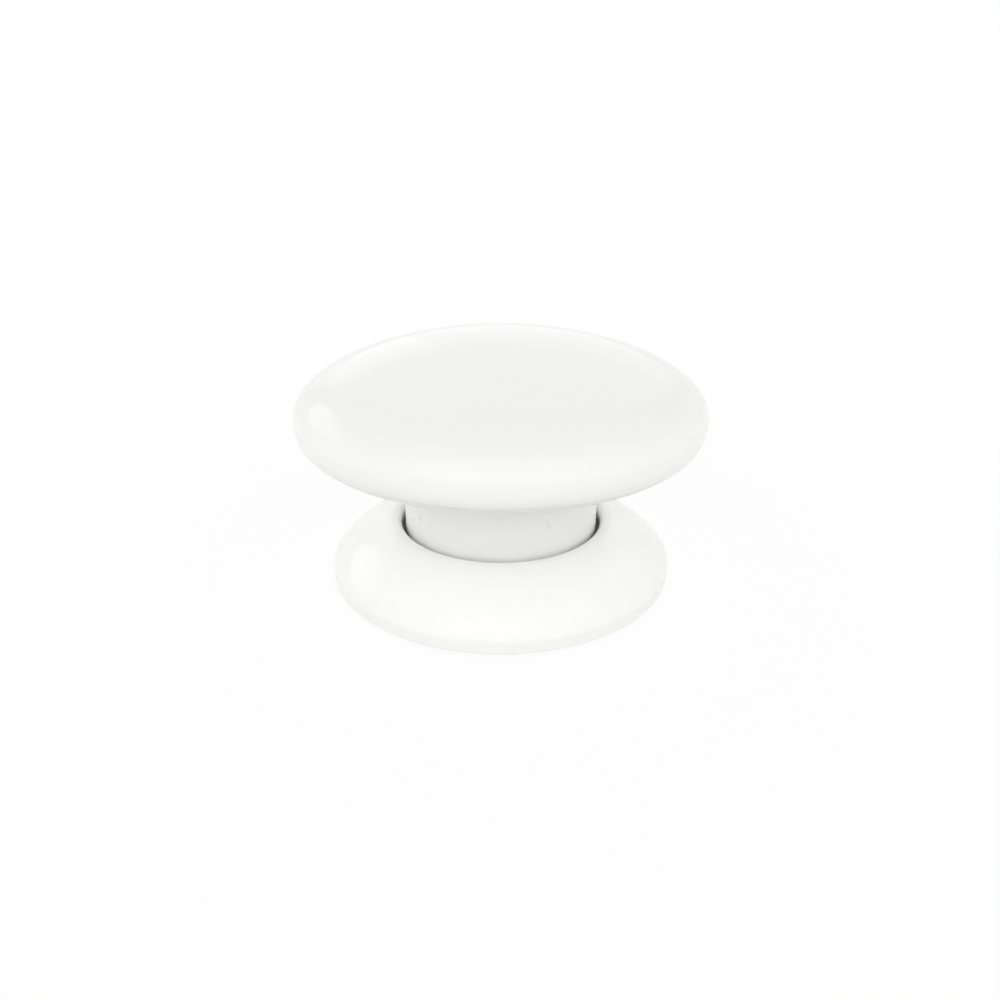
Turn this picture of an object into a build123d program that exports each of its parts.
from build123d import *
import math
import os

os.makedirs("parts", exist_ok=True)

# A smart button: a mushroom cap on a stem that slides into a flared round base.
# The origin is on the surface it stands on, under the centre. +Z is up, -Y is the front.
# All lengths are in millimetres, and each stack of heights is added up from the floor.

# Cap outline: a crown above and a keel below the widest place, both superellipses
cap_radius = 23.0
equator_height = 20.2
crown_rise = 7.8
keel_depth = 5.8
crown_power = 1.9
keel_power = 2.9
outline_points = 9

# Shells
cover_wall = 1.6
bowl_wall = 1.5
seam_drop = 2.6
seam_gap = 0.12

# Stem, its hollow and the web that the spring lifts
stem_radius = 11.35
stem_wall = 1.45
web_thickness = 1.0
press_travel = 0.8

# Base shell: a rim band, a bulged flank and a collar with a rounded lip
flank_run = 7.05
rim_band = 1.65
rim_shoulder = 0.35
rim_foot_edge = 0.2
base_wall = 1.5
flank_wall = 1.3
collar_rise = 6.35
collar_gap = 1.05
lip_width = 0.6
lip_round = 0.4
lip_depth = 1.35
flank_bulge = 0.6
skirt_wall = 1.2

# Base plate, pad and screws
pad_thickness = 0.8
pad_proud = 0.3
pad_margin = 0.2
plate_margin = 1.2
plate_play = 0.1
plate_thickness = 1.4
post_radius = 2.2
seat_wall = 0.8
seat_rise = 1.0
base_screw_count = 3
base_screw_first_angle = 30
base_boss_radius = 1.6
base_boss_overlap = 0.2
base_screw_radius = 0.75
base_screw_head_radius = 1.5
base_screw_head_height = 0.7
base_screw_length = 2.9
base_screw_spare = 0.2
base_socket_across = 1.3
base_socket_depth = 0.35

# Guide ring, keys and retaining ring
guide_play = 0.08
guide_seat = 0.6
guide_height = 1.2
key_count = 3
key_first_angle = 90
key_width = 2.0
key_reach = 0.6
key_play = 0.1
ring_thickness = 0.6
ring_lift = 0.15
ring_grip = 0.35
ring_reach = 1.15
ring_split = 3.0
ring_side_play = 0.05
stem_play = 0.35

# Return spring and the pad on the post
wire_radius = 0.3
spring_radius = 4.6
spring_height = 7.3
spring_turns = 5
spring_end_gap = 0.02
spring_side_play = 0.2
web_hole_margin = 1.2
press_pad_height = 0.9
press_pad_radius = 1.9
press_pad_edge = 0.3
plunger_gap = 0.1

# Bayonet between the cover and the bowl
bayonet_gap = 1.9
ring_wall = 0.9
ring_wall_rise = 0.6
tab_count = 3
tab_angle = 30
tab_thickness = 0.9
tab_reach = 1.1
lug_angle = 24
lug_height = 1.0
lug_reach = 1.5
lug_play = 0.3
stop_angle = 3
stop_play_angle = 1
seal_height = 0.8
seal_width = 1.3

# Main board and its screws
board_edge_gap = 0.39
board_thickness = 1.0
board_play = 0.4
board_screw_count = 3
board_screw_first_angle = 30
board_screw_inset = 2.3
board_boss_radius = 1.5
board_screw_radius = 0.6
board_screw_hole_play = 0.15
board_screw_head_radius = 1.3
board_screw_head_height = 0.8
board_screw_tip_wall = 0.62
board_slot_width = 0.4
board_slot_depth = 0.35

# Coin cell and its holder, inside the band of the board that the chips keep
chip_band = 6.75
cell_height = 3.2
cell_skin = 0.25
cell_lid = 0.3
cell_gasket_wall = 0.5
cell_cap_proud = 0.15
cell_play = 0.15
holder_wall = 1.3
holder_floor = 0.8
holder_hook_rise = 0.25
holder_hook_height = 0.4
holder_hook_reach = 0.8
holder_hook_angle = 16
holder_hook_count = 2
holder_hook_first_angle = 90
holder_window = 2.4
leaf_gap = 0.6
leaf_thickness = 0.2
leaf_width = 4.0
leaf_length = 6.0
contact_width = 3.0
contact_thickness = 0.2
contact_foot = 1.4
contact_finger = 1.2
contact_lift = 0.05
foam_margin = 2.35
foam_gap = 0.3
foam_seat_margin = 0.6

# Radio module and the chips, in rows between the board's screws
chip_gap = 0.8
radio_width = 11.0
radio_depth = 4.6
radio_board_thickness = 0.8
shield_height = 1.6
shield_skin = 0.2
shield_margin = 0.4
chip_side = 4.0
chip_height = 0.9
crystal_length = 3.2
crystal_width = 1.6
crystal_height = 0.8
antenna_length = 7.0
antenna_width = 2.0
antenna_height = 1.0
capacitor_length = 1.6
capacitor_width = 0.8
capacitor_height = 0.8
resistor_length = 1.0
resistor_width = 0.5
resistor_height = 0.35

# Push switch under the board, on the axis
switch_side = 6.2
switch_height = 3.5
switch_roof = 0.5
frame_thickness = 0.3
plunger_radius = 1.75
plunger_play = 0.1
plunger_reach = 2.0
plunger_flange_radius = 2.3
plunger_flange_height = 0.5
plunger_core_radius = 1.0
plunger_crown = 0.4
dome_gap = 0.05
chamber_radius = 2.6
dome_thickness = 0.15
dome_rise = 0.5
dome_rim = 0.3
dome_flat = 0.3
terminal_length = 1.2
terminal_width = 0.7
terminal_thickness = 0.2
terminal_pitch = 4.5

# One length past a face for every cut, and how near a found edge lies to its place
overrun = 1.0
edge_tolerance = 0.01


# The cap's outline
def superellipse(radius, depth, power, share):
    """Radius and height of a superellipse at a share of its quarter turn, 0 at the widest place."""
    turn = share * math.pi / 2
    return radius * math.cos(turn) ** (2 / power), depth * math.sin(turn) ** (2 / power)


def outline_height(radius, depth, power, at_radius):
    """Height of a superellipse over its widest plane at a radius."""
    return depth * (1 - (at_radius / radius) ** power) ** (1 / power)


def outline_share(radius, power, at_radius):
    """Share of the quarter turn at which a superellipse has a radius."""
    return math.acos((at_radius / radius) ** (power / 2)) / (math.pi / 2)


def outline_radius(radius, depth, power, at_height):
    """Radius of a superellipse at a height over its widest plane."""
    return radius * (1 - (at_height / depth) ** power) ** (1 / power)


# Places that several pieces share, from the floor up
plate_bottom = pad_proud
plate_top = plate_bottom + plate_thickness
shoulder_height = plate_bottom + rim_band
collar_top = plate_bottom + collar_rise
hole_radius = stem_radius + collar_gap
guide_outer = hole_radius + guide_seat
guide_top = collar_top - lip_depth
guide_bottom = guide_top - guide_height
ring_top = guide_bottom - ring_lift
ring_bottom = ring_top - ring_thickness
stem_bottom = plate_top + press_travel + stem_play
stem_inner = stem_radius - stem_wall
web_bottom = plate_top + spring_height
rim_radius = hole_radius + lip_width + flank_run
plate_radius = rim_radius - base_wall - plate_play
pad_radius = plate_radius - plate_margin
base_screw_circle = guide_outer + skirt_wall + base_boss_radius - base_boss_overlap
base_screw_top = pad_thickness + base_screw_length
ledge_height = equator_height - seam_drop - seam_gap
seam_height = equator_height - seam_drop
cover_inner = cap_radius - cover_wall
ring_outer = cover_inner - bayonet_gap
ring_inner = ring_outer - ring_wall
ring_wall_top = equator_height + ring_wall_rise
tab_bottom = ring_wall_top - tab_thickness
lug_top = tab_bottom - lug_play
board_radius = ring_inner - board_play
bowl_drop = outline_height(cap_radius - bowl_wall, keel_depth - bowl_wall, keel_power, board_radius)
board_bottom = equator_height - bowl_drop + board_edge_gap
board_top = board_bottom + board_thickness
board_screw_circle = board_radius - board_screw_inset
screw_drop = outline_height(cap_radius, keel_depth, keel_power, board_screw_circle)
board_screw_tip = equator_height - screw_drop + board_screw_tip_wall
cell_bottom = board_top + holder_floor + leaf_gap
cell_top = cell_bottom + cell_height
holder_outer = board_radius - chip_band
holder_inner = holder_outer - holder_wall
cell_radius = holder_inner - cell_play
foam_radius = holder_inner - holder_hook_reach - foam_margin
chip_circle = board_radius - chip_band / 2
foam_bottom = cell_top + foam_gap
foam_seat_radius = foam_radius + foam_seat_margin
foam_seat_rise = outline_height(cover_inner, crown_rise - cover_wall, crown_power, foam_seat_radius)
foam_top = equator_height + foam_seat_rise
switch_bottom = board_bottom - switch_height
dome_bottom = board_bottom - switch_roof - dome_rise
frame_bottom = switch_bottom - frame_thickness
plunger_tip = frame_bottom - plunger_reach
post_pad_top = plunger_tip - plunger_gap
post_top = post_pad_top - press_pad_height
LOW = (Align.CENTER, Align.CENTER, Align.MIN)


# Profiles and plain shapes
def at(radius, height):
    """A point of a profile, drawn flat: X is the radius and Y the height."""
    return Vector(radius, height)


def crown_curve(radius, rise):
    """The crown's profile, from the apex out to the widest place."""
    shares = [1 - step / outline_points for step in range(1, outline_points + 1)]
    points = [at(0, equator_height + rise)]
    for share in shares:
        out, up = superellipse(radius, rise, crown_power, share)
        points.append(at(out, equator_height + up))
    return Spline(points, tangents=[(1, 0), (0, -1)])


def keel_curve(radius, depth, start_share, end_share):
    """A stretch of the keel's profile, from one share of its quarter turn to another."""
    points = []
    for step in range(outline_points + 1):
        share = start_share + (end_share - start_share) * step / outline_points
        out, down = superellipse(radius, depth, keel_power, share)
        points.append(at(out, equator_height - down))
    return Spline(points)


def revolved(*edges):
    """The solid that closed profile edges, drawn flat, sweep about the Z axis."""
    return revolve(Plane.XZ * make_face(Wire(list(edges))), Axis.Z)


def run(*points):
    """Straight profile edges through points."""
    return [Line(a, b) for a, b in zip(points, points[1:])]


def disc(radius, bottom, top):
    """A round plate between two heights."""
    return Pos(0, 0, bottom) * Cylinder(radius, top - bottom, align=LOW)


def tube(outer, inner, bottom, top):
    """A ring between two heights."""
    bore = disc(inner, bottom - overrun, top + overrun)
    return disc(outer, bottom, top) - bore


def block(length, width, bottom, top):
    """A plain block on the axis between two heights."""
    return Pos(0, 0, bottom) * Box(length, width, top - bottom, align=LOW)


def sector(outer, inner, bottom, top, middle, span):
    """A piece of a ring, centred on an angle."""
    half = math.radians(span / 2)
    reach = 2 * outer / math.cos(half)
    corners = [
        (0, 0),
        (reach * math.cos(-half), reach * math.sin(-half)),
        (reach * math.cos(half), reach * math.sin(half)),
    ]
    wedge = extrude(make_face(Polyline(*corners, close=True)), top - bottom)
    return tube(outer, inner, bottom, top) & (Rot(0, 0, middle) * Pos(0, 0, bottom) * wedge)


def turns(count, first_angle):
    """The angles of equal steps round the axis."""
    return [first_angle + 360 * number / count for number in range(count)]


def placed(shape, radius, angle):
    """A shape moved out to a radius and turned to an angle."""
    return Rot(0, 0, angle) * Pos(radius, 0, 0) * shape


def group(shapes):
    """Separate solids kept as one node."""
    return Compound(children=[solid for shape in shapes for solid in shape.solids()])


def circle_edges(shape, radius, height):
    """The round edges of a shape at a radius and a height."""
    edges = shape.edges().filter_by(GeomType.CIRCLE)
    return [
        edge
        for edge in edges
        if abs(edge.radius - radius) < edge_tolerance
        and abs(edge.center().Z - height) < edge_tolerance
    ]


def countersunk_screw(head_radius, head_height, radius, length, socket, socket_depth):
    """A countersunk screw with its head at the bottom and a hexagon socket."""
    head = Cone(head_radius, radius, head_height, align=LOW)
    shank = Cylinder(radius, length, align=LOW)
    drive = extrude(RegularPolygon(socket / 2, 6), socket_depth)
    return head + shank - drive


def slotted_screw(head_radius, head_height, radius, grip, slot_width, slot_depth):
    """A cheese-head screw, its shank going down from 0 and its head up."""
    head = Cylinder(head_radius, head_height, align=LOW)
    shank = Pos(0, 0, -grip) * Cylinder(radius, grip, align=LOW)
    slot = Pos(0, 0, head_height - slot_depth) * Box(
        2 * head_radius + overrun, slot_width, slot_depth + overrun, align=LOW
    )
    return head + shank - slot


# Base shell
def flank(low, high):
    """The bulged flank's arc, from the rim up to the lip, with the ends it joins."""
    return SagittaArc(low, high, -flank_bulge), low, high


def make_base_shell():
    """The flared shell with its rim band, collar, guide seat and three screw bosses."""
    arc, low, high = flank(at(rim_radius, shoulder_height), at(hole_radius + lip_width, collar_top))
    foot = at(rim_radius, plate_bottom)
    outer = revolved(
        *run(at(0, plate_bottom), foot, low),
        arc,
        *run(high, at(0, collar_top), at(0, plate_bottom)),
    )
    outer = fillet(circle_edges(outer, rim_radius, shoulder_height), rim_shoulder)
    outer = fillet(circle_edges(outer, rim_radius, plate_bottom), rim_foot_edge)
    high_place = hole_radius + lip_width
    arc, low, high = flank(
        at(rim_radius - base_wall, plate_top + plate_play), at(high_place, collar_top - flank_wall)
    )
    skirt = guide_outer + skirt_wall
    under = plate_bottom - overrun
    hollow = revolved(
        *run(at(0, under), at(low.X, under), low), arc, *run(high, at(0, high.Y), at(0, under))
    )
    middle = Pos(0, 0, flank_wall / 2) * hollow
    collar = tube(skirt, hole_radius, guide_bottom, collar_top)
    bosses = [
        placed(disc(base_boss_radius, plate_top, collar_top), base_screw_circle, angle) & middle
        for angle in turns(base_screw_count, base_screw_first_angle)
    ]
    pilots = [
        placed(disc(base_screw_radius, under, base_screw_top + base_screw_spare), base_screw_circle, angle)
        for angle in turns(base_screw_count, base_screw_first_angle)
    ]
    shell = outer - hollow + (collar & outer)
    for boss in bosses:
        shell = shell + boss
    shell = shell - disc(hole_radius, under, collar_top + overrun)
    shell = shell - disc(guide_outer, under, guide_top)
    for pilot in pilots:
        shell = shell - pilot
    return fillet(circle_edges(shell, hole_radius, collar_top), lip_round)


def make_base_plate():
    """The closing plate with its pad recess, spring seat and central post."""
    plate = disc(plate_radius, plate_bottom, plate_top)
    plate = plate - disc(pad_radius + pad_margin, plate_bottom - overrun, pad_thickness)
    seat_inner = spring_radius + wire_radius + spring_side_play
    plate = plate + tube(seat_inner + seat_wall, seat_inner, plate_top, plate_top + seat_rise)
    plate = plate + disc(post_radius, plate_top, post_top)
    for angle in turns(base_screw_count, base_screw_first_angle):
        sink = Pos(0, 0, pad_thickness) * Cone(
            base_screw_head_radius, base_screw_radius, base_screw_head_height, align=LOW
        )
        hole = disc(base_screw_radius, pad_thickness, plate_top + overrun)
        plate = plate - placed(sink + hole, base_screw_circle, angle)
    return plate


def make_base_screws():
    """Three countersunk screws that hold the plate to the shell."""
    screw = Pos(0, 0, pad_thickness) * countersunk_screw(
        base_screw_head_radius,
        base_screw_head_height,
        base_screw_radius,
        base_screw_length,
        base_socket_across,
        base_socket_depth,
    )
    return group(
        placed(screw, base_screw_circle, angle)
        for angle in turns(base_screw_count, base_screw_first_angle)
    )


def make_guide_ring():
    """The ring that guides the stem, with a slot for each key."""
    ring = tube(guide_outer, stem_radius + guide_play, guide_bottom, guide_top)
    slot = block(
        2 * (key_reach + key_play), key_width + 2 * key_play, guide_bottom - overrun, guide_top + overrun
    )
    for angle in turns(key_count, key_first_angle):
        ring = ring - placed(slot, stem_radius, angle)
    return ring


def make_press_pad():
    """The elastomer tip on the post."""
    pad = disc(press_pad_radius, post_top, post_pad_top)
    return fillet(circle_edges(pad, press_pad_radius, post_pad_top), press_pad_edge)


def make_return_spring():
    """The wire spring between the plate and the web."""
    low = plate_top + wire_radius + spring_end_gap
    rise = spring_height - 2 * (wire_radius + spring_end_gap)
    path = Helix(rise / spring_turns, rise, spring_radius)
    section = Plane(origin=path @ 0, z_dir=path % 0) * Circle(wire_radius)
    return Pos(0, 0, low) * sweep(section, path, is_frenet=True)


# Knob: the bowl with its stem
def make_under_shell():
    """The cap's lower bowl, the ring wall with its bayonet tabs, the stem and its web."""
    inner_radius = cap_radius - bowl_wall
    inner_depth = keel_depth - bowl_wall
    edge_radius = outline_radius(cap_radius, keel_depth, keel_power, equator_height - ledge_height)
    edge_share = outline_share(cap_radius, keel_power, edge_radius)
    stem_share = outline_share(cap_radius, keel_power, stem_radius)
    keel = keel_curve(cap_radius, keel_depth, edge_share, stem_share)
    floor_start = outline_share(inner_radius, keel_power, stem_inner)
    floor_end = outline_share(inner_radius, keel_power, ring_inner)
    floor = keel_curve(inner_radius, inner_depth, floor_start, floor_end)
    hole = post_radius + web_hole_margin
    shell = revolved(
        keel,
        *run(
            keel @ 1,
            at(stem_radius, stem_bottom),
            at(stem_inner, stem_bottom),
            at(stem_inner, web_bottom),
            at(hole, web_bottom),
            at(hole, web_bottom + web_thickness),
            at(stem_inner, web_bottom + web_thickness),
            floor @ 0,
        ),
        floor,
        *run(
            floor @ 1,
            at(ring_inner, ring_wall_top),
            at(ring_outer, ring_wall_top),
            at(ring_outer, ledge_height),
            keel @ 0,
        ),
    )
    for angle in turns(tab_count, 0):
        tab = sector(ring_outer + tab_reach, ring_inner, tab_bottom, ring_wall_top, angle, tab_angle)
        stop_middle = angle - (lug_angle + stop_angle) / 2 - stop_play_angle
        stop = sector(
            ring_outer + tab_reach,
            ring_inner,
            lug_top - lug_height,
            ring_wall_top,
            stop_middle,
            stop_angle,
        )
        shell = shell + tab + stop
    for angle in turns(key_count, key_first_angle):
        key = block(2 * key_reach, key_width, ring_top + ring_side_play, guide_top - key_play)
        shell = shell + placed(key, stem_radius, angle)
    groove = tube(
        stem_radius + overrun,
        stem_radius - ring_grip,
        ring_bottom - ring_side_play,
        ring_top + ring_side_play,
    )
    shell = shell - groove
    bowl_floor = equator_height - keel_depth
    for angle in turns(board_screw_count, board_screw_first_angle):
        boss = placed(disc(board_boss_radius, bowl_floor, board_bottom), board_screw_circle, angle)
        shell = shell + (boss & bowl_fill())
    for angle in turns(board_screw_count, board_screw_first_angle):
        pilot = disc(board_screw_radius, board_screw_tip, board_top)
        shell = shell - placed(pilot, board_screw_circle, angle)
    return shell


def bowl_fill():
    """All inside the middle of the bowl's wall, which the bosses are cut to."""
    keel = keel_curve(cap_radius - bowl_wall / 2, keel_depth - bowl_wall / 2, 0, 1)
    return revolved(keel, *run(keel @ 1, at(0, equator_height), keel @ 0))


def make_retaining_ring():
    """The split ring that snaps into the stem's groove under the guide ring."""
    ring = tube(stem_radius + ring_reach, stem_radius - ring_grip, ring_bottom, ring_top)
    gap = placed(
        block(2 * ring_reach + 2 * overrun, ring_split, ring_bottom - overrun, ring_top + overrun),
        stem_radius,
        -key_first_angle,
    )
    return ring - gap


def make_seal_ring():
    """The gasket on the ledge behind the seam."""
    return tube(ring_outer + seal_width, ring_outer, ledge_height, ledge_height + seal_height)


# Knob: boards, cell and switch
def make_main_board():
    """The round board with its screw holes."""
    board = disc(board_radius, board_bottom, board_top)
    hole = disc(
        board_screw_radius + board_screw_hole_play, board_bottom - overrun, board_top + overrun
    )
    for angle in turns(board_screw_count, board_screw_first_angle):
        board = board - placed(hole, board_screw_circle, angle)
    return board


def make_board_screws():
    """The screws that hold the board to the bowl's bosses."""
    screw = Pos(0, 0, board_top) * slotted_screw(
        board_screw_head_radius,
        board_screw_head_height,
        board_screw_radius,
        board_top - board_screw_tip,
        board_slot_width,
        board_slot_depth,
    )
    return group(
        placed(screw, board_screw_circle, angle)
        for angle in turns(board_screw_count, board_screw_first_angle)
    )


def make_battery_holder():
    """The open cup that carries the cell, with two hooks and windows for the contacts."""
    wall_top = cell_top + holder_hook_rise
    holder = tube(holder_outer, holder_inner, board_top, cell_bottom + cell_height / 2)
    holder = holder + disc(holder_inner, board_top, board_top + holder_floor)
    for angle in turns(holder_hook_count, holder_hook_first_angle):
        post = sector(holder_outer, holder_inner, board_top, wall_top, angle, holder_hook_angle)
        hook = sector(
            holder_outer,
            holder_inner - holder_hook_reach,
            wall_top,
            wall_top + holder_hook_height,
            angle,
            holder_hook_angle,
        )
        holder = holder + post + hook
    window = block(
        2 * holder_wall + 2 * cell_play, contact_width + 2 * cell_play, board_top, cell_top
    )
    holder = holder - placed(window, holder_inner, 0)
    leaf_hole = block(
        leaf_length + holder_window, leaf_width + holder_window, board_top - overrun, cell_bottom
    )
    return holder - leaf_hole


def make_positive_contact():
    """The strip that stands beside the cell and hooks over the can's edge."""
    inner = holder_inner + cell_play
    outer = inner + contact_thickness
    finger_bottom = cell_top + contact_lift
    finger_top = finger_bottom + contact_thickness
    foot = Pos(inner, 0, board_top) * Box(
        contact_foot, contact_width, contact_thickness, align=(Align.MIN, Align.CENTER, Align.MIN)
    )
    upright = Pos(inner, 0, board_top) * Box(
        outer - inner, contact_width, finger_top - board_top, align=(Align.MIN, Align.CENTER, Align.MIN)
    )
    finger = Pos(outer, 0, finger_bottom) * Box(
        contact_finger + outer - cell_radius,
        contact_width,
        contact_thickness,
        align=(Align.MAX, Align.CENTER, Align.MIN),
    )
    return foot + upright + finger


def make_negative_contact():
    """The leaf under the cell: a foot on the board, a riser and the leaf against the cap."""
    leaf_top = cell_bottom - contact_lift
    foot = block(leaf_length, leaf_width, board_top, board_top + leaf_thickness)
    riser = Pos(leaf_length / 2, 0, board_top) * Box(
        leaf_thickness, leaf_width, leaf_top - board_top, align=(Align.MAX, Align.CENTER, Align.MIN)
    )
    leaf = block(leaf_length, leaf_width / 2, leaf_top - leaf_thickness, leaf_top)
    return foot + riser + leaf


def make_cell():
    """The cell's can, gasket and cap, one inside another."""
    lid_bottom = cell_top - cell_lid
    skin_inner = cell_radius - cell_skin
    gasket_inner = skin_inner - cell_gasket_wall
    rim_bottom = cell_bottom + cell_cap_proud
    can = disc(cell_radius, rim_bottom, cell_top) - disc(skin_inner, cell_bottom, lid_bottom)
    can = fillet(circle_edges(can, cell_radius, cell_top), cell_skin)
    gasket = tube(skin_inner, gasket_inner, rim_bottom, lid_bottom)
    cap = disc(gasket_inner, cell_bottom, lid_bottom)
    return can, gasket, cap


def chip_rows():
    """The angles of each kind of chip: three rows, each centred between two of the board's screws."""
    side = (("resistor", resistor_length), ("capacitor", capacitor_length))
    rows = (
        (*side, ("radio", radio_width), *reversed(side)),
        (*side, ("chip", chip_side), ("crystal", crystal_length), *reversed(side)),
        (*side, ("antenna", antenna_length), *reversed(side)),
    )
    middles = turns(board_screw_count, board_screw_first_angle + 180 / board_screw_count)
    angles = {}
    for middle, row in zip(middles, rows):
        along = -(sum(length for _, length in row) + chip_gap * (len(row) - 1)) / 2
        for kind, length in row:
            turned = math.degrees((along + length / 2) / chip_circle)
            angles.setdefault(kind, []).append(middle + turned)
            along = along + length + chip_gap
    return angles


def make_radio(angle):
    """The radio module's own board and its pressed shield."""
    top = board_top + radio_board_thickness
    board = block(radio_depth, radio_width, board_top, top)
    outside = block(
        radio_depth - 2 * shield_margin, radio_width - 2 * shield_margin, top, top + shield_height
    )
    inside = block(
        radio_depth - 2 * (shield_margin + shield_skin),
        radio_width - 2 * (shield_margin + shield_skin),
        top - overrun,
        top + shield_height - shield_skin,
    )
    shield = outside - inside
    return placed(board, chip_circle, angle), placed(shield, chip_circle, angle)


def chips(length, width, height, angles):
    """Blocks on the board's ring, their length along the ring."""
    body = block(width, length, board_top, board_top + height)
    return group(placed(body, chip_circle, angle) for angle in angles)


def make_switch_housing():
    """The switch's moulded body, open below for its plunger and hollow for the dome."""
    body = block(switch_side, switch_side, switch_bottom, board_bottom)
    chamber = disc(chamber_radius, switch_bottom + switch_roof, board_bottom - switch_roof)
    bore = disc(plunger_radius + plunger_play, switch_bottom - overrun, board_bottom - switch_roof)
    return body - chamber - bore


def make_switch_frame():
    """The steel plate under the housing."""
    plate = block(switch_side, switch_side, frame_bottom, switch_bottom)
    return plate - disc(plunger_radius + plunger_play, frame_bottom - overrun, switch_bottom + overrun)


def make_switch_dome():
    """The snap disc under the chamber's roof: a thin shell, bowed down to the plunger."""
    top = board_bottom - switch_roof
    rim = chamber_radius - dome_rim
    low = TangentArc(at(0, dome_bottom), at(rim, top - dome_thickness), tangent=(1, 0))
    high = TangentArc(at(0, dome_bottom + dome_thickness), at(rim - dome_flat, top), tangent=(1, 0))
    return revolved(low, *run(low @ 1, at(rim, top), high @ 1), high, *run(high @ 0, low @ 0))


def make_switch_terminals():
    """Four feet soldered to the board's underside."""
    foot = Pos(switch_side / 2, 0, board_bottom - terminal_thickness) * Box(
        terminal_length, terminal_width, terminal_thickness, align=(Align.MIN, Align.CENTER, Align.MIN)
    )
    return group(
        Rot(0, 0, angle) * Pos(0, side * terminal_pitch / 2, 0) * foot
        for angle in (0, 180)
        for side in (-1, 1)
    )


def make_switch_plunger():
    """The plunger: a rounded tip, a flange inside the chamber and a core under the dome."""
    flange_bottom = switch_bottom + switch_roof
    flange_top = flange_bottom + plunger_flange_height
    plunger = disc(plunger_radius, plunger_tip, flange_top)
    plunger = plunger + disc(plunger_flange_radius, flange_bottom, flange_top)
    plunger = plunger + disc(plunger_core_radius, flange_top, dome_bottom - press_travel - dome_gap)
    return fillet(circle_edges(plunger, plunger_radius, plunger_tip), plunger_crown)


# Cover
def make_top_cover():
    """The dome, from the crown round the widest place to the seam, with its bayonet lugs."""
    seam_radius = outline_radius(cap_radius, keel_depth, keel_power, seam_drop)
    seam_share = outline_share(cap_radius, keel_power, seam_radius)
    crown = crown_curve(cap_radius, crown_rise)
    side = keel_curve(cap_radius, keel_depth, 0, seam_share)
    inner = crown_curve(cover_inner, crown_rise - cover_wall)
    cover = revolved(
        crown,
        side,
        *run(side @ 1, at(cover_inner, seam_height), inner @ 1),
        inner,
        *run(inner @ 0, crown @ 0),
    )
    seat = disc(foam_seat_radius, foam_top, equator_height + crown_rise)
    fill = revolved(crown, *run(crown @ 1, at(0, equator_height), crown @ 0))
    cover = cover + (seat & fill)
    for angle in turns(tab_count, 0):
        lug = sector(
            cover_inner + cover_wall / 2,
            cover_inner - lug_reach,
            lug_top - lug_height,
            lug_top,
            angle,
            lug_angle,
        )
        cover = cover + lug
    return cover


cell_can, cell_gasket, cell_cap = make_cell()
chip_angles = chip_rows()
radio_board, radio_shield = make_radio(*chip_angles["radio"])
nodes = {
    "base_shell": make_base_shell(),
    "base_plate": make_base_plate(),
    "mounting_pad": disc(pad_radius, 0, pad_thickness),
    "base_screws": make_base_screws(),
    "guide_ring": make_guide_ring(),
    "press_pad": make_press_pad(),
    "return_spring": make_return_spring(),
    "under_shell": make_under_shell(),
    "retaining_ring": make_retaining_ring(),
    "seal_ring": make_seal_ring(),
    "main_board": make_main_board(),
    "board_screws": make_board_screws(),
    "battery_holder": make_battery_holder(),
    "positive_contact": make_positive_contact(),
    "negative_contact": make_negative_contact(),
    "cell_can": cell_can,
    "cell_gasket": cell_gasket,
    "cell_cap": cell_cap,
    "radio_board": radio_board,
    "radio_shield": radio_shield,
    "microcontroller": chips(chip_side, chip_side, chip_height, chip_angles["chip"]),
    "crystal": chips(crystal_length, crystal_width, crystal_height, chip_angles["crystal"]),
    "chip_antenna": chips(antenna_length, antenna_width, antenna_height, chip_angles["antenna"]),
    "capacitors": chips(capacitor_length, capacitor_width, capacitor_height, chip_angles["capacitor"]),
    "resistors": chips(resistor_length, resistor_width, resistor_height, chip_angles["resistor"]),
    "switch_housing": make_switch_housing(),
    "switch_frame": make_switch_frame(),
    "switch_dome": make_switch_dome(),
    "switch_terminals": make_switch_terminals(),
    "switch_plunger": make_switch_plunger(),
    "top_cover": make_top_cover(),
    "battery_foam": disc(foam_radius, foam_bottom, foam_top),
}
for name, shape in nodes.items():
    export_step(shape, f"parts/{name}.step")
